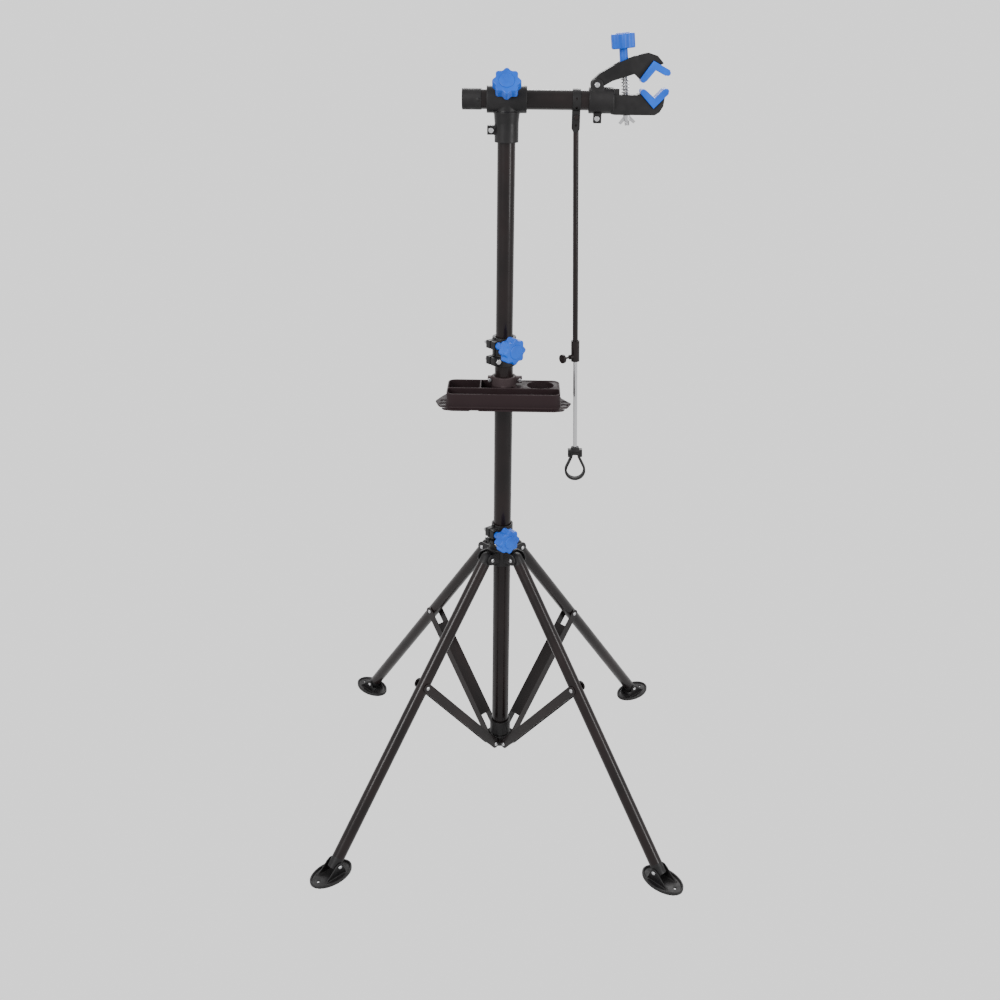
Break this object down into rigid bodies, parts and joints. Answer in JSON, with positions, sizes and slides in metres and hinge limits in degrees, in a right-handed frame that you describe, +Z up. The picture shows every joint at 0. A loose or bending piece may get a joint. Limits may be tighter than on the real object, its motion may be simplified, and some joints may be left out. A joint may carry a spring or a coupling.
{
  "type": "folding bike repair stand",
  "caption": "Folding bicycle repair stand: splayed tube legs with strut braces, telescopic mast, tool tray, swivel clamp arm and handlebar holder rod.",
  "frame": {"origin": "on the floor, on the mast's axis", "axes": "+Z up along the mast, +X towards the clamp at the arm's end, -Y the tray's front"},
  "size_m": [0.7274, 0.7274, 1.5428],
  "materials": {
    "black_paint": "gloss black enamel",
    "blue_plastic": "satin blue",
    "zinc_steel": "bright zinc",
    "bright_rod": "bright drawn",
    "black_rubber": "matte",
    "tray_plastic": "satin brown black",
    "black_casting": "satin black",
    "black_plastic": "satin black"
  },
  "bodies": {
    "mast": {"lower_tube": "black_paint", "base_collar": "black_plastic", "base_rivets": "zinc_steel", "mid_collar": "black_plastic", "mid_collar_bolts": "zinc_steel", "tray": "tray_plastic", "tray_screws": "zinc_steel"},
    "hub": {"leg_hub": "black_plastic", "hub_rivets": "zinc_steel", "hub_bolts": "zinc_steel"},
    "hub_knob": {"hub_knob": "blue_plastic"},
    "mid_knob": {"mid_knob": "blue_plastic"},
    "upper_mast": {"upper_tube": "black_paint", "tube_glide": "black_plastic"},
    "tee": {"tee_joint": "black_casting", "tee_bolt": "zinc_steel"},
    "tee_knob": {"tee_knob": "blue_plastic"},
    "arm": {"arm_tube": "black_paint", "arm_cap": "black_plastic", "clamp_body": "black_casting", "clamp_bolt": "zinc_steel", "jaw_pin": "zinc_steel", "lower_pad": "blue_plastic", "clamp_spring": "zinc_steel", "wing_nut": "zinc_steel"},
    "jaw": {"upper_jaw": "black_casting", "upper_pad": "blue_plastic"},
    "screw": {"clamp_screw": "zinc_steel"},
    "clamp_knob": {"clamp_knob": "blue_plastic"},
    "strap": {"hanger_strap": "black_plastic", "hanger_bolt": "black_paint"},
    "rod": {"rod_outer": "black_paint"},
    "thumb_screw": {"thumb_screw": "black_paint"},
    "inner_rod": {"rod_inner": "bright_rod", "loop_yoke": "black_plastic", "loop_strap": "black_rubber"},
    "leg_front_left": {"leg_tube_front_left": "black_paint", "leg_plugs_front_left": "black_plastic", "foot_rivet_front_left": "zinc_steel"},
    "strut_front_left": {"strut_front_left": "black_paint", "strut_rivets_front_left": "zinc_steel"},
    "foot_front_left": {"foot_front_left": "black_plastic"},
    "leg_front_right": {"leg_tube_front_right": "black_paint", "leg_plugs_front_right": "black_plastic", "foot_rivet_front_right": "zinc_steel"},
    "strut_front_right": {"strut_front_right": "black_paint", "strut_rivets_front_right": "zinc_steel"},
    "foot_front_right": {"foot_front_right": "black_plastic"},
    "leg_rear_right": {"leg_tube_rear_right": "black_paint", "leg_plugs_rear_right": "black_plastic", "foot_rivet_rear_right": "zinc_steel"},
    "strut_rear_right": {"strut_rear_right": "black_paint", "strut_rivets_rear_right": "zinc_steel"},
    "foot_rear_right": {"foot_rear_right": "black_plastic"},
    "leg_rear_left": {"leg_tube_rear_left": "black_paint", "leg_plugs_rear_left": "black_plastic", "foot_rivet_rear_left": "zinc_steel"},
    "strut_rear_left": {"strut_rear_left": "black_paint", "strut_rivets_rear_left": "zinc_steel"},
    "foot_rear_left": {"foot_rear_left": "black_plastic"}
  },
  "joints": [
    {"name": "hub_slide", "type": "slide", "parent": "mast", "child": "hub", "axis": [0, 0, 1], "range_m": [0, 0.1212]},
    {"name": "hub_knob_spin", "type": "hinge", "parent": "hub", "child": "hub_knob", "pos_m": [-0.01977, -0.01689, 0.6025], "axis": [0.6494, -0.7604, 0], "continuous": true},
    {"name": "mid_knob_spin", "type": "hinge", "parent": "mast", "child": "mid_knob", "pos_m": [-0.01977, -0.01689, 0.9945], "axis": [0.6494, -0.7604, 0], "continuous": true},
    {"name": "height_slide", "type": "slide", "parent": "mast", "child": "upper_mast", "axis": [0, 0, 1], "range_m": [-0.045, 0.34]},
    {"name": "head_swivel", "type": "hinge", "parent": "upper_mast", "child": "tee", "pos_m": [0, 0, 1.375], "axis": [0, 0, 1], "continuous": true},
    {"name": "tee_knob_spin", "type": "hinge", "parent": "tee", "child": "tee_knob", "pos_m": [0, 0, 1.431], "axis": [0, -0.8192, 0.5736], "continuous": true},
    {"name": "arm_turn", "type": "hinge", "parent": "tee", "child": "arm", "pos_m": [0, 0, 1.431], "axis": [1, 0, 0], "continuous": true},
    {"name": "jaw_hinge", "type": "hinge", "parent": "arm", "child": "jaw", "pos_m": [0.155, 0, 1.457], "axis": [0, 1, 0], "range_deg": [-9, 6.5]},
    {"name": "screw_slide", "type": "slide", "parent": "arm", "child": "screw", "axis": [0.1011, 0, -0.9949], "range_m": [-0.0085, 0.0062], "deforming": ["clamp_spring"]},
    {"name": "clamp_knob_spin", "type": "hinge", "parent": "screw", "child": "clamp_knob", "pos_m": [0.20091, 0, 1.487], "axis": [-0.1011, 0, 0.9949], "continuous": true},
    {"name": "strap_swing", "type": "hinge", "parent": "tee", "child": "strap", "pos_m": [0.121, 0, 1.431], "axis": [1, 0, 0], "range_deg": [-60, 60]},
    {"name": "rod_swing", "type": "hinge", "parent": "strap", "child": "rod", "pos_m": [0.121, 0, 1.403], "axis": [0, -1, 0], "range_deg": [0, 45]},
    {"name": "thumb_screw_spin", "type": "hinge", "parent": "rod", "child": "thumb_screw", "pos_m": [0.13501, 0, 0.96923], "axis": [-0.7982, -0.6018, -0.0258], "continuous": true},
    {"name": "inner_rod_slide", "type": "slide", "parent": "rod", "child": "inner_rod", "axis": [0.0323, 0, -0.9995], "range_m": [-0.12, 0.16]},
    {"name": "leg_fold_front_left", "type": "hinge", "parent": "hub", "child": "leg_front_left", "pos_m": [-0.02998, -0.02998, 0.5525], "axis": [0.7071, -0.7071, 0], "range_deg": [0, 31.45]},
    {"name": "strut_fold_front_left", "type": "hinge", "parent": "mast", "child": "strut_front_left", "pos_m": [-0.01838, -0.01838, 0.098], "axis": [-0.7071, 0.7071, 0], "range_deg": [0, 30.62]},
    {"name": "foot_tilt_front_left", "type": "hinge", "parent": "leg_front_left", "child": "foot_front_left", "pos_m": [-0.31714, -0.31714, 0.022], "axis": [0.7071, -0.7071, 0], "range_deg": [-35, 35]},
    {"name": "leg_fold_front_right", "type": "hinge", "parent": "hub", "child": "leg_front_right", "pos_m": [0.02998, -0.02998, 0.5525], "axis": [0.7071, 0.7071, 0], "range_deg": [0, 31.45]},
    {"name": "strut_fold_front_right", "type": "hinge", "parent": "mast", "child": "strut_front_right", "pos_m": [0.01838, -0.01838, 0.098], "axis": [-0.7071, -0.7071, 0], "range_deg": [0, 30.62]},
    {"name": "foot_tilt_front_right", "type": "hinge", "parent": "leg_front_right", "child": "foot_front_right", "pos_m": [0.31714, -0.31714, 0.022], "axis": [0.7071, 0.7071, 0], "range_deg": [-35, 35]},
    {"name": "leg_fold_rear_right", "type": "hinge", "parent": "hub", "child": "leg_rear_right", "pos_m": [0.02998, 0.02998, 0.5525], "axis": [-0.7071, 0.7071, 0], "range_deg": [0, 31.45]},
    {"name": "strut_fold_rear_right", "type": "hinge", "parent": "mast", "child": "strut_rear_right", "pos_m": [0.01838, 0.01838, 0.098], "axis": [0.7071, -0.7071, 0], "range_deg": [0, 30.62]},
    {"name": "foot_tilt_rear_right", "type": "hinge", "parent": "leg_rear_right", "child": "foot_rear_right", "pos_m": [0.31714, 0.31714, 0.022], "axis": [-0.7071, 0.7071, 0], "range_deg": [-35, 35]},
    {"name": "leg_fold_rear_left", "type": "hinge", "parent": "hub", "child": "leg_rear_left", "pos_m": [-0.02998, 0.02998, 0.5525], "axis": [-0.7071, -0.7071, 0], "range_deg": [0, 31.45]},
    {"name": "strut_fold_rear_left", "type": "hinge", "parent": "mast", "child": "strut_rear_left", "pos_m": [-0.01838, 0.01838, 0.098], "axis": [0.7071, 0.7071, 0], "range_deg": [0, 30.62]},
    {"name": "foot_tilt_rear_left", "type": "hinge", "parent": "leg_rear_left", "child": "foot_rear_left", "pos_m": [-0.31714, 0.31714, 0.022], "axis": [-0.7071, -0.7071, 0], "range_deg": [-35, 35]}
  ],
  "couplings": [
    {"joint": "screw_slide", "follows": "jaw_hinge", "m_per_rad": 0.047},
    {"joint": "leg_fold_front_left", "follows": "hub_slide", "rad_per_m": 4.5267},
    {"joint": "strut_fold_front_left", "follows": "hub_slide", "rad_per_m": 4.4066},
    {"joint": "leg_fold_front_right", "follows": "hub_slide", "rad_per_m": 4.5267},
    {"joint": "strut_fold_front_right", "follows": "hub_slide", "rad_per_m": 4.4066},
    {"joint": "leg_fold_rear_right", "follows": "hub_slide", "rad_per_m": 4.5267},
    {"joint": "strut_fold_rear_right", "follows": "hub_slide", "rad_per_m": 4.4066},
    {"joint": "leg_fold_rear_left", "follows": "hub_slide", "rad_per_m": 4.5267},
    {"joint": "strut_fold_rear_left", "follows": "hub_slide", "rad_per_m": 4.4066}
  ]
}
